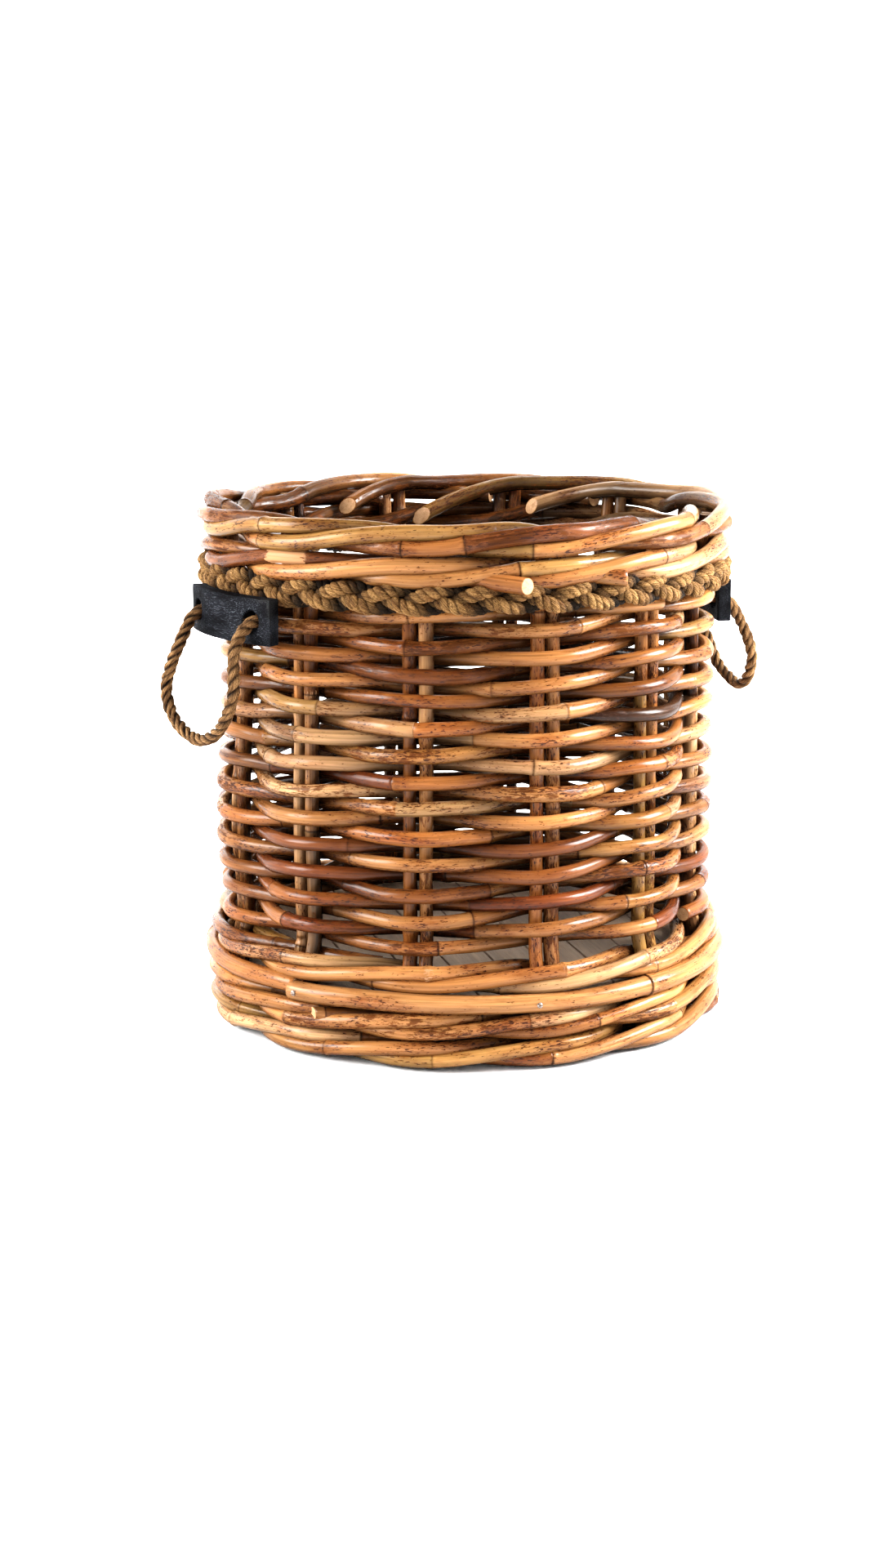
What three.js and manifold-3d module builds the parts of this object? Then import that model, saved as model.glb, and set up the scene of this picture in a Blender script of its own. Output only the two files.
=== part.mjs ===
// Round woven laundry basket in thick rattan cane, with two rope handles.
// Units are millimetres, +Z is up, and the origin is the centre of the footprint on the floor.
// Twelve pairs of upright stakes carry everything: three-rod wales at the foot and the rim, plain
// in-and-out weaving between them, a nailed hoop, a plaited rope band and a slatted floor.

import * as THREE from 'three';
import { mergeVertices } from 'three/addons/utils/BufferGeometryUtils.js';
import Module from 'manifold-3d';

const wasm = await Module();
wasm.setup();

// ---- driving dimensions -------------------------------------------------------------------

const PAIR_COUNT = 12;
const FIRST_PAIR_DEG = 20;
const PAIR_STEP_DEG = 360 / PAIR_COUNT;
const PASS_HALF_DEG = 4;              // half the angle over which a cane lies flat on a stake pair

const STAKE_DIAMETER = 13.6;
const STAKE_SIDES = 6;
const STAKE_SPREAD_DEG = 1.93;        // a stake's angle from the middle of its pair
const STAKE_FOOT_Z = 4;
const STAKE_TOP_Z = 500;

// The stakes' centreline radius by height: wide at the foot, straight, and flared to the rim.
const WALL_PROFILE = [
  [0, 237], [50, 238], [84, 234], [104, 228.5], [120, 228], [434, 228], [462, 238.5], [500, 242],
];

const WEAVE_PITCH = 13;               // height from one row to the next
const WEAVE_BASE_Z = 97.1;
const WEAVE_OFFSET = 15;              // a woven cane's centre from the stakes' centre, in or out
const WEAVE_CANE = { width: 13.8, height: 12.4, flat: 6 };
const WEAVER_A = { firstDeg: 110, rise: 0, turnsDeg: [1500, 1500, 1500] };
const WEAVER_B = { firstDeg: -40, rise: WEAVE_PITCH, turnsDeg: [1500, 1500, 1440] };
const BUTT_GAP_DEG = 0.4;             // half the gap between two canes' ends behind a stake pair

const FOOT_ROD = { width: 13, height: 12, flat: 3 };
const FOOT_ROD_RISE = 6.7;            // a rod's height above or below the middle of its course
const FOOT_COURSE_Z = [12.7, 39.7];
const SHOULDER_COURSE_Z = [84.2];
const RIM_ROD = { width: 14, height: 13.4, flat: 3 };
const RIM_ROD_RISE = 7.5;
const RIM_LOWER_Z = [468];
const RIM_UPPER_Z = [498];
const WALE_OFFSET = 16;               // a waling rod's centre from the stakes' centre, in or out

const HOOP = { width: 17, height: 17, flat: 7 };
const HOOP_Z = 61.6;
const HOOP_RADIUS = 254.3;
const HOOP_FIRST_DEG = -159;
const HOOP_GAP_DEG = 0.3;
const HOOP_STEP_DEG = 10;

const BAND_INNER_RADIUS = 246.4;
const BAND_OUTER_RADIUS = 259;
const BAND_BOTTOM_Z = 436.8;
const BAND_TOP_Z = 452.8;
const BAND_BEVEL = 3.5;
const BAND_STEPS = 40;

const SLAT_COUNT = 10;
const SLAT_PITCH = 46;
const SLAT_GAP = 2;
const SLAT_FLOOR_RADIUS = 228.9;
const SLAT_BOTTOM_Z = 52.8;
const SLAT_THICKNESS = 12;
const SLAT_DIRECTION_DEG = 76;
const SLAT_END_STEPS = 3;

const HANDLES = {
  left: { deg: 186.2, z: 417 },
  right: { deg: -1, z: 400 },
};
const PLATE_FACE_RADIUS = 284;        // the middle of a plate's front face, from the basket's axis
const PLATE_CURVE_RADIUS = 204;
const PLATE_THICKNESS = 14;
const PLATE_LENGTH = 146;
const PLATE_HEIGHT = 44;
const PLATE_STEPS = 10;
const HOLE_DIAMETER = 20.5;
const HOLE_SPACING = 96;
const HOLE_SIDES = 20;
const DRILL_LENGTH = 60;

const ROPE_DIAMETER = 12;
const ROPE_SIDES = 8;
const LOOP_STEPS = { left: 24, right: 21 };
const TIE_STEPS = 13;

// Each rope's route in its handle's own frame: X is outward from the basket's axis, Y along the
// plate, Z up from the plate's middle. The tie behind the plate is the same on both sides of it.
const TIE_HALF_ROUTE = [
  [277.4, 48, -1.8], [271, 48, 0.3], [265, 46, 0.6], [260, 38.5, 0], [258, 25, 0], [258.6, 12, 0],
];
const TIE_MIDDLE = [259, 0, 0];
const LOOP_ROUTE = {
  left: [
    [287.6, -48.4, -9.8], [293.5, -46.8, -19], [301, -46.5, -32], [305.5, -54.5, -52],
    [307.2, -62, -76], [307.5, -53.5, -96], [307.5, -31, -110.5], [307.5, 0, -116],
    [307.5, 27, -108], [307.4, 44.5, -94], [307.2, 57, -77], [306.6, 63, -60],
    [304.2, 60.5, -43], [299.5, 53, -28], [293, 49.3, -17.5], [287.6, 48.4, -9.8],
  ],
  right: [
    [287.6, -48.4, -9.8], [294, -46.2, -18.5], [301, -46, -30], [306.5, -50.5, -46],
    [309, -54, -62], [310.8, -48.5, -79], [311.4, -39, -91.5], [311.6, -25, -96.5],
    [311.5, -10, -92], [311.1, 6, -84], [310.2, 18, -73], [308, 25, -58],
    [303, 32, -42], [296.5, 41, -24], [287.6, 48.4, -9.8],
  ],
};

// ---- materials ----------------------------------------------------------------------------

const FINISHES = {
  stake: { color: 0x9a6a3c, roughness: 0.45 },
  weaver: { color: 0xb9793f, roughness: 0.4 },
  rim: { color: 0xc08a4c, roughness: 0.4 },
  foot: { color: 0xbd8247, roughness: 0.4 },
  hoop: { color: 0xc4834a, roughness: 0.4 },
  band: { color: 0x9c7440, roughness: 0.9 },
  slat: { color: 0xb9a182, roughness: 0.7 },
  plate: { color: 0x1b1c20, roughness: 0.45 },
  rope: { color: 0x6b4a25, roughness: 0.9 },
};

const basket = new THREE.Group();

function addMesh(group, name, geometry, finish) {
  const material = new THREE.MeshStandardMaterial({ ...FINISHES[finish], metalness: 0 });
  const mesh = new THREE.Mesh(geometry, material);
  mesh.name = name;
  group.add(mesh);
  return mesh;
}

// ---- the wall and its canes ---------------------------------------------------------------

function wallRadius(z) {
  for (let i = 1; i < WALL_PROFILE.length; i += 1) {
    const [lowZ, lowRadius] = WALL_PROFILE[i - 1];
    const [highZ, highRadius] = WALL_PROFILE[i];
    if (z <= highZ) {
      return lowRadius + ((highRadius - lowRadius) * (z - lowZ)) / (highZ - lowZ);
    }
  }
  return WALL_PROFILE.at(-1)[1];
}

// A path round the basket, given by corner points, whose section keeps its flats level.
class WallPath extends THREE.Curve {
  constructor(corners) {
    super();
    this.corners = corners.map(({ deg, radius, z }) => {
      const angle = THREE.MathUtils.degToRad(deg);
      return new THREE.Vector3(radius * Math.cos(angle), radius * Math.sin(angle), z);
    });
  }

  get steps() {
    return this.corners.length - 1;
  }

  getPointAt(u, target = new THREE.Vector3()) {
    return target.copy(this.corners[Math.round(u * this.steps)]);
  }

  computeFrenetFrames() {
    const up = new THREE.Vector3(0, 0, 1);
    const normals = this.corners.map((p) => new THREE.Vector3(-p.x, -p.y, 0).normalize());
    const tangents = normals.map((normal) => normal.clone().cross(up));
    const binormals = normals.map(() => up);
    return { tangents, normals, binormals };
  }
}

// A six-sided cane section with a flat top and bottom.
function caneSection({ width, height, flat }) {
  const outline = [
    [width / 2, 0], [flat / 2, height / 2], [-flat / 2, height / 2],
    [-width / 2, 0], [-flat / 2, -height / 2], [flat / 2, -height / 2],
  ];
  return new THREE.Shape(outline.map(([x, y]) => new THREE.Vector2(x, y)));
}

function caneGeometry(section, corners) {
  const path = new WallPath(corners);
  return new THREE.ExtrudeGeometry(caneSection(section), { steps: path.steps, extrudePath: path });
}

function pairDeg(index) {
  return FIRST_PAIR_DEG + index * PAIR_STEP_DEG;
}

// ---- stakes -------------------------------------------------------------------------------

// A path straight up the wall's profile, with its section kept level.
class StakePath extends THREE.Curve {
  constructor(deg) {
    super();
    const angle = THREE.MathUtils.degToRad(deg);
    const bends = WALL_PROFILE.map(([z]) => z).filter((z) => z > STAKE_FOOT_Z && z < STAKE_TOP_Z);
    this.outward = new THREE.Vector3(Math.cos(angle), Math.sin(angle), 0);
    this.heights = [STAKE_FOOT_Z, ...bends, STAKE_TOP_Z];
  }

  get steps() {
    return this.heights.length - 1;
  }

  getPointAt(u, target = new THREE.Vector3()) {
    const z = this.heights[Math.round(u * this.steps)];
    return target.copy(this.outward).multiplyScalar(wallRadius(z)).setZ(z);
  }

  computeFrenetFrames() {
    const up = new THREE.Vector3(0, 0, 1);
    const sideways = up.clone().cross(this.outward);
    return {
      tangents: this.heights.map(() => up),
      normals: this.heights.map(() => this.outward),
      binormals: this.heights.map(() => sideways),
    };
  }
}

function roundSection(diameter, sides) {
  const points = [];
  for (let i = 0; i < sides; i += 1) {
    const angle = (2 * Math.PI * (i + 0.5)) / sides;
    points.push(new THREE.Vector2(Math.cos(angle), Math.sin(angle)).multiplyScalar(diameter / 2));
  }
  return new THREE.Shape(points);
}

function addStakes() {
  const section = roundSection(STAKE_DIAMETER, STAKE_SIDES);
  for (let pair = 0; pair < PAIR_COUNT; pair += 1) {
    for (const [side, sign] of [['a', -1], ['b', 1]]) {
      const path = new StakePath(pairDeg(pair) + sign * STAKE_SPREAD_DEG);
      const geometry = new THREE.ExtrudeGeometry(section, { steps: path.steps, extrudePath: path });
      addMesh(basket, `stake_${String(pair + 1).padStart(2, '0')}${side}`, geometry, 'stake');
    }
  }
}

// ---- plain weaving ------------------------------------------------------------------------

// Two interleaved spirals. Each passes in front of every second stake pair and behind the rest.
function addWeavers(series, { firstDeg, rise, turnsDeg }) {
  let startDeg = firstDeg;
  turnsDeg.forEach((lengthDeg, index) => {
    const endDeg = startDeg + lengthDeg;
    const corners = [];
    let outside = false;
    for (let deg = startDeg; deg <= endDeg; deg += PAIR_STEP_DEG) {
      const before = deg === startDeg ? BUTT_GAP_DEG : -PASS_HALF_DEG;
      const after = deg === endDeg ? -BUTT_GAP_DEG : PASS_HALF_DEG;
      for (const passDeg of [deg + before, deg + after]) {
        const z = WEAVE_BASE_Z + rise + (2 * WEAVE_PITCH * passDeg) / 360;
        const radius = wallRadius(z) + (outside ? WEAVE_OFFSET : -WEAVE_OFFSET);
        corners.push({ deg: passDeg, radius, z });
      }
      outside = !outside;
    }
    addMesh(basket, `weaver_${series}${index + 1}`, caneGeometry(WEAVE_CANE, corners), 'weaver');
    startDeg = endDeg;
  });
}

// ---- three-rod wales ----------------------------------------------------------------------

// Each rod passes behind one stake pair and in front of the next two, climbing over the other
// two rods as it goes. With two courses the rod steps up behind its first pair.
function waleGeometry(section, rise, courses, firstPair) {
  const corners = [];
  const place = (deg, radius, z) => corners.push({ deg, radius, z });
  courses.forEach((courseZ, course) => {
    const wall = wallRadius(courseZ);
    for (let step = 0; step <= PAIR_COUNT; step += 1) {
      const deg = pairDeg(firstPair + step) + 360 * course;
      const outside = step % 3 !== 0;
      const radius = wall + (outside ? WALE_OFFSET : -WALE_OFFSET);
      const arriveZ = courseZ + (step % 3 === 1 ? -rise : rise);
      const leaveZ = courseZ + (step % 3 === 2 ? rise : -rise);
      if (step > 0) {
        place(deg - PASS_HALF_DEG, radius, arriveZ);
      }
      if (step < PAIR_COUNT) {
        place(deg + PASS_HALF_DEG, radius, leaveZ);
      }
    }
  });
  return caneGeometry(section, corners);
}

function addWale(name, finish, section, rise, courses, firstPair) {
  for (let rod = 0; rod < 3; rod += 1) {
    const geometry = waleGeometry(section, rise, courses, firstPair + rod);
    addMesh(basket, `${name}_${rod + 1}`, geometry, finish);
  }
}

// ---- hoop, rope band and floor ------------------------------------------------------------

function addHoop() {
  const corners = [];
  const endDeg = HOOP_FIRST_DEG + 360 - HOOP_GAP_DEG;
  for (let deg = HOOP_FIRST_DEG; deg < endDeg; deg += HOOP_STEP_DEG) {
    corners.push({ deg, radius: HOOP_RADIUS, z: HOOP_Z });
  }
  corners.push({ deg: endDeg, radius: HOOP_RADIUS, z: HOOP_Z });
  addMesh(basket, 'nailed_hoop', caneGeometry(HOOP, corners), 'hoop');
}

function addRopeBand() {
  const outline = [
    [BAND_INNER_RADIUS + BAND_BEVEL, BAND_BOTTOM_Z], [BAND_OUTER_RADIUS - BAND_BEVEL, BAND_BOTTOM_Z],
    [BAND_OUTER_RADIUS, BAND_BOTTOM_Z + BAND_BEVEL], [BAND_OUTER_RADIUS, BAND_TOP_Z - BAND_BEVEL],
    [BAND_OUTER_RADIUS - BAND_BEVEL, BAND_TOP_Z], [BAND_INNER_RADIUS + BAND_BEVEL, BAND_TOP_Z],
    [BAND_INNER_RADIUS, BAND_TOP_Z - BAND_BEVEL], [BAND_INNER_RADIUS, BAND_BOTTOM_Z + BAND_BEVEL],
  ];
  const profile = [...outline, outline[0]].map(([radius, z]) => new THREE.Vector2(radius, z));
  const geometry = new THREE.LatheGeometry(profile, BAND_STEPS);
  geometry.rotateX(Math.PI / 2);
  addMesh(basket, 'braided_rope_band', geometry, 'band');
}

function slatOutline(low, high) {
  const edge = (across) => Math.sqrt(SLAT_FLOOR_RADIUS ** 2 - across ** 2);
  const points = [];
  for (const [from, to, sign] of [[low, high, 1], [high, low, -1]]) {
    for (let i = 0; i <= SLAT_END_STEPS; i += 1) {
      const across = from + ((to - from) * i) / SLAT_END_STEPS;
      points.push(new THREE.Vector2(sign * edge(across), across));
    }
  }
  return new THREE.Shape(points);
}

// Boards side by side whose ends meet the stakes, resting on the foot wale's inner passes.
function addFloor() {
  const floor = new THREE.Group();
  floor.rotation.z = THREE.MathUtils.degToRad(SLAT_DIRECTION_DEG);
  floor.position.z = SLAT_BOTTOM_Z;
  const limit = SLAT_FLOOR_RADIUS - SLAT_GAP;
  for (let i = 0; i < SLAT_COUNT; i += 1) {
    const low = (i - SLAT_COUNT / 2) * SLAT_PITCH + SLAT_GAP / 2;
    const high = low + SLAT_PITCH - SLAT_GAP;
    const outline = slatOutline(Math.max(low, -limit), Math.min(high, limit));
    const options = { depth: SLAT_THICKNESS, bevelEnabled: false };
    addMesh(floor, `floor_slat_${i + 1}`, new THREE.ExtrudeGeometry(outline, options), 'slat');
  }
  basket.add(floor);
}

// ---- handles ------------------------------------------------------------------------------

function toSolid(geometry) {
  const bare = geometry.clone();
  bare.deleteAttribute('normal');
  bare.deleteAttribute('uv');
  const merged = mergeVertices(bare, 1e-3);
  const vertProperties = new Float32Array(merged.attributes.position.array);
  const triVerts = new Uint32Array(merged.index.array);
  return new wasm.Manifold(new wasm.Mesh({ numProp: 3, vertProperties, triVerts }));
}

function toGeometry(solid) {
  const mesh = solid.getMesh();
  const geometry = new THREE.BufferGeometry();
  geometry.setAttribute('position', new THREE.BufferAttribute(mesh.vertProperties, 3));
  geometry.setIndex(new THREE.BufferAttribute(mesh.triVerts, 1));
  geometry.computeVertexNormals();
  return geometry;
}

// A curved wooden plate with two holes that the rope passes through.
function plateGeometry() {
  const centre = PLATE_FACE_RADIUS - PLATE_CURVE_RADIUS;
  const half = PLATE_LENGTH / 2 / PLATE_CURVE_RADIUS;
  const outline = [];
  for (const [radius, sign] of [[PLATE_CURVE_RADIUS, 1], [PLATE_CURVE_RADIUS - PLATE_THICKNESS, -1]]) {
    for (let i = 0; i <= PLATE_STEPS; i += 1) {
      const angle = sign * half * ((2 * i) / PLATE_STEPS - 1);
      outline.push(new THREE.Vector2(centre + radius * Math.cos(angle), radius * Math.sin(angle)));
    }
  }
  const plate = new THREE.ExtrudeGeometry(new THREE.Shape(outline), {
    depth: PLATE_HEIGHT,
    bevelEnabled: false,
  });
  plate.translate(0, 0, -PLATE_HEIGHT / 2);
  let solid = toSolid(plate);
  for (const side of [-1, 1]) {
    const radius = HOLE_DIAMETER / 2;
    const drill = new THREE.CylinderGeometry(radius, radius, DRILL_LENGTH, HOLE_SIDES);
    drill.rotateZ(Math.PI / 2);
    drill.translate(PLATE_FACE_RADIUS - PLATE_THICKNESS, (side * HOLE_SPACING) / 2, 0);
    solid = solid.subtract(toSolid(drill));
  }
  return toGeometry(solid);
}

function mirroredRoute(half, middle) {
  const others = half.map(([x, y, z]) => [x, -y, z]).reverse();
  return [...half, middle, ...others];
}

function ropeGeometry(route, steps) {
  const path = new THREE.CatmullRomCurve3(route.map((point) => new THREE.Vector3(...point)));
  const options = { steps, extrudePath: path };
  return new THREE.ExtrudeGeometry(roundSection(ROPE_DIAMETER, ROPE_SIDES), options);
}

function addHandle(side) {
  const handle = new THREE.Group();
  handle.rotation.z = THREE.MathUtils.degToRad(HANDLES[side].deg);
  handle.position.z = HANDLES[side].z;
  addMesh(handle, `handle_plate_${side}`, plateGeometry(), 'plate');
  const tie = ropeGeometry(mirroredRoute(TIE_HALF_ROUTE, TIE_MIDDLE), TIE_STEPS);
  addMesh(handle, `rope_tie_${side}`, tie, 'rope');
  const loop = ropeGeometry(LOOP_ROUTE[side], LOOP_STEPS[side]);
  addMesh(handle, `rope_loop_${side}`, loop, 'rope');
  basket.add(handle);
}

// ---- assembly -----------------------------------------------------------------------------

addStakes();
addWale('foot_rod', 'foot', FOOT_ROD, FOOT_ROD_RISE, FOOT_COURSE_Z, 1);
addWale('shoulder_rod', 'foot', FOOT_ROD, FOOT_ROD_RISE, SHOULDER_COURSE_Z, 4);
addWale('rim_lower_rod', 'rim', RIM_ROD, RIM_ROD_RISE, RIM_LOWER_Z, 7);
addWale('rim_upper_rod', 'rim', RIM_ROD, RIM_ROD_RISE, RIM_UPPER_Z, 0);
addWeavers('a', WEAVER_A);
addWeavers('b', WEAVER_B);
addHoop();
addRopeBand();
addFloor();
addHandle('left');
addHandle('right');

export default basket;
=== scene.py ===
"""The looks of a round woven laundry basket in rattan cane, built round its plain solids.

Everything is in metres in the row frame. The canes follow the same rules as the solids that they stand
for, and add what natural rattan has: nodes, bark, stains, bends and cut ends.
"""

import math

import bpy
import numpy as np
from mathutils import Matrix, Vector


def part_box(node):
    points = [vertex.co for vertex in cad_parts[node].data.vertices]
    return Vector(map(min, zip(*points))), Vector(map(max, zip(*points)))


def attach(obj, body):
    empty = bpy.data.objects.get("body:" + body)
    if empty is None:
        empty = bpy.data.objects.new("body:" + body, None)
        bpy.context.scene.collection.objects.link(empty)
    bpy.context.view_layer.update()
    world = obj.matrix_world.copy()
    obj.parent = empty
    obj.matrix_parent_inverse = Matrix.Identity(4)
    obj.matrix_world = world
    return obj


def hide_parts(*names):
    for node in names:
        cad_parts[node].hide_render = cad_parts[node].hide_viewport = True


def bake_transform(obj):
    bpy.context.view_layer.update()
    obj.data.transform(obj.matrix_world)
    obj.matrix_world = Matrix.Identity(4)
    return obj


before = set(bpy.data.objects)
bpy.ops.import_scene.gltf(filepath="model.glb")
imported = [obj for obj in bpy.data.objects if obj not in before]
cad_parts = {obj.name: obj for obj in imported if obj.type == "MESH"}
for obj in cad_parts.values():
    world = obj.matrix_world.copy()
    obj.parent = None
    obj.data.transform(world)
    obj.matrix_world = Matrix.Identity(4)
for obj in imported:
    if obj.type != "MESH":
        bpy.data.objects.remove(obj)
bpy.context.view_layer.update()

# ---- driving dimensions ----

PAIR_COUNT = 12
FIRST_PAIR_DEG = 20
PAIR_STEP_DEG = 360 / PAIR_COUNT
PASS_HALF_DEG = 4

STAKE_DIAMETER = 0.0136
STAKE_SPREAD_DEG = 1.93
WALL_Z = [0, 0.05, 0.084, 0.104, 0.12, 0.434, 0.462, 0.5]
WALL_RADIUS = [0.237, 0.238, 0.234, 0.2285, 0.228, 0.228, 0.2385, 0.242]

WEAVE_PITCH = 0.013
WEAVE_BASE_Z = 0.0971
WEAVE_OFFSET = 0.0154
WEAVERS = {"a": (110, 0, [1500, 1500, 1500]), "b": (-40, WEAVE_PITCH, [1500, 1500, 1440])}

WALE_OFFSET = 0.0166
FOOT_COURSE_Z = [0.0127, 0.0397]
SHOULDER_COURSE_Z = [0.0842]
RIM_LOWER_Z = [0.468]
RIM_UPPER_Z = [0.498]
FOOT_RISE = 0.0067
RIM_RISE = 0.0075

HOOP_Z = 0.0616
HOOP_RADIUS = 0.2543
HOOP_FIRST_DEG = -159

HANDLES = {"left": (186.2, 0.417), "right": (-1, 0.4)}        # each one's angle and height
ROPE_DIAMETER = 0.012

# Each rope's route in its handle's own frame: X is outward from the basket's axis, Y along the
# plate, Z up from the plate's middle. The tie behind the plate is the same on both sides of it.
TIE_RADIUS = 0.259
TIE_HALF_ROUTE = [
    (0.2586, 0.012, 0), (0.258, 0.025, 0), (0.26, 0.0385, 0), (0.265, 0.046, 0.0006),
    (0.271, 0.048, 0.0003), (0.2774, 0.048, -0.0018),
]
LOOP_ROUTE = {
    "left": [
        (0.2876, -0.0484, -0.0098), (0.2935, -0.0468, -0.019), (0.301, -0.0465, -0.032),
        (0.3055, -0.0545, -0.052), (0.3072, -0.062, -0.076), (0.3075, -0.0535, -0.096),
        (0.3075, -0.031, -0.1105), (0.3075, 0, -0.116), (0.3075, 0.027, -0.108),
        (0.3074, 0.0445, -0.094), (0.3072, 0.057, -0.077), (0.3066, 0.063, -0.06),
        (0.3042, 0.0605, -0.043), (0.2995, 0.053, -0.028), (0.293, 0.0493, -0.0175),
        (0.2876, 0.0484, -0.0098),
    ],
    "right": [
        (0.2876, -0.0484, -0.0098), (0.294, -0.0462, -0.0185), (0.301, -0.046, -0.03),
        (0.3065, -0.0505, -0.046), (0.309, -0.054, -0.062), (0.3108, -0.0485, -0.079),
        (0.3114, -0.039, -0.0915), (0.3116, -0.025, -0.0965), (0.3115, -0.01, -0.092),
        (0.3111, 0.006, -0.084), (0.3102, 0.018, -0.073), (0.308, 0.025, -0.058),
        (0.303, 0.032, -0.042), (0.2965, 0.041, -0.024), (0.2876, 0.0484, -0.0098),
    ],
}

# ---- camera ----

CAMERA_DEG = -119
CAMERA_ELEVATION_DEG = 11.68
CAMERA_DISTANCE = 2.789
CAMERA_AIM = Vector((0, 0, 0.23006))
CAMERA_LENS_MM = 63.17
CAMERA_SHIFT = (-0.01515, -0.0057)


def linked(name, data):
    made = bpy.data.objects.new(name, data)
    bpy.context.scene.collection.objects.link(made)
    return made


def side_axes(deg):
    """The directions away from the basket's axis, round it and up, at an angle."""
    x, y = math.cos(math.radians(deg)), math.sin(math.radians(deg))
    return np.array([(x, y, 0), (-y, x, 0), (0, 0, 1)])


def add_camera():
    elevation = math.radians(CAMERA_ELEVATION_DEG)
    back = Vector((math.cos(elevation), 0, math.sin(elevation)) @ side_axes(CAMERA_DEG))
    camera = linked("camera", bpy.data.cameras.new("camera"))
    camera.data.lens = CAMERA_LENS_MM
    camera.data.shift_x, camera.data.shift_y = CAMERA_SHIFT
    camera.location = CAMERA_AIM + back * CAMERA_DISTANCE
    camera.rotation_euler = (-back).to_track_quat("-Z", "Y").to_euler()
    bpy.context.scene.camera = camera


add_camera()

# ---- small tools ----


def unit(vectors):
    return vectors / np.maximum(np.linalg.norm(vectors, axis=-1, keepdims=True), 1e-12)


def lengths_along(line, power=1):
    steps = np.linalg.norm(np.diff(line, axis=0), axis=1) ** power
    return np.concatenate([[0.0], np.cumsum(steps)])


def pick(line, along, places):
    """The points of a line at these places along it."""
    return np.stack([np.interp(places, along, line[:, k]) for k in range(3)], axis=1)


def resampled(line, step):
    along = lengths_along(line)
    places = np.linspace(0, along[-1], max(2, int(round(along[-1] / step)) + 1))
    return pick(line, along, places)


def through(points, per_span=24):
    """A centripetal Catmull-Rom line through the points."""
    p = np.array(points, float)
    p = np.vstack([2 * p[0] - p[1], p, 2 * p[-1] - p[-2]])
    spans = []
    for i in range(len(p) - 3):
        knots = lengths_along(p[i:i + 4], 0.5)
        t = np.linspace(knots[1], knots[2], per_span, endpoint=False)[:, None]
        rows = [p[i + j] for j in range(4)]
        # The pyramid of straight blends that defines the curve, one level at a time.
        for level in (1, 2, 3):
            fresh = []
            for j in range(len(rows) - 1):
                low, high = (knots[j], knots[j + level]) if level < 3 else (knots[1], knots[2])
                fresh.append(((high - t) * rows[j] + (t - low) * rows[j + 1]) / (high - low))
            rows = fresh
        spans.append(rows[0])
    return np.vstack(spans + [p[-2:-1]])


def transported(line):
    """A side direction at each point of the line that never twists about it."""
    tangents = unit(np.gradient(line, axis=0))
    sides = [unit(np.cross(tangents[0], (0.3, 0.2, 1.0)))]
    for tangent in tangents[1:]:
        sides.append(unit(sides[-1] - tangent * sides[-1].dot(tangent)))
    return np.array(sides)


def outward(line):
    """The level direction away from the basket's axis at each point."""
    return unit(line * (1, 1, 0))


def wander(rng, x, wavelength, size):
    """A smooth random function of x, of about that wavelength and size."""
    total = np.zeros(len(x))
    for octave in range(4):
        wave = wavelength * rng.uniform(0.75, 1.3) * 0.55**octave
        total += size * 0.55**octave * np.sin(2 * np.pi * x / wave + rng.uniform(0, 2 * np.pi))
    return total


def eased(t):
    t = np.clip(t, 0, 1)
    return t * t * (3 - 2 * t)


def hump(x, reach):
    """1 at 0, and falling to almost nothing at twice the reach."""
    return np.exp(-((x / reach) ** 2))


# The wall stands out a little, low down on one side, as a hand-woven wall does: where, how far that
# spreads either way, and by how much.
SWELL_DEG, SWELL_DEG_SPREAD = 152, 38
SWELL_Z, SWELL_Z_SPREAD = 0.2, 0.075
SWELL = 0.0075


def ring_points(deg, radius, z):
    """Points at angles, radii and heights round the basket."""
    beside = (deg - SWELL_DEG + 180) % 360 - 180
    radius = radius + SWELL * hump(beside, SWELL_DEG_SPREAD) * hump(z - SWELL_Z, SWELL_Z_SPREAD)
    angle = np.radians(deg)
    return np.stack([radius * np.cos(angle), radius * np.sin(angle), z + 0 * angle], axis=1)


def wall_radius(z):
    return np.interp(z, WALL_Z, WALL_RADIUS)


def pair_deg(index):
    return FIRST_PAIR_DEG + index * PAIR_STEP_DEG


# ---- meshes ----

CUT_REACH = 0.02        # how far back from a slanted cut the rings lean with it
CUT_BEVEL = 0.9         # the share of a cane's radius inside a cut end's bevelled edge
CUT_BULGE = 0.0004      # how far a cut face stands out from its edge


def store(mesh, name, values, kind="FLOAT_VECTOR", key="vector"):
    """Gives a mesh a value at each point, for its material to read."""
    layer = mesh.attributes.new(name, kind, "POINT")
    layer.data.foreach_set(key, np.asarray(values, np.float32).ravel())


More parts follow.
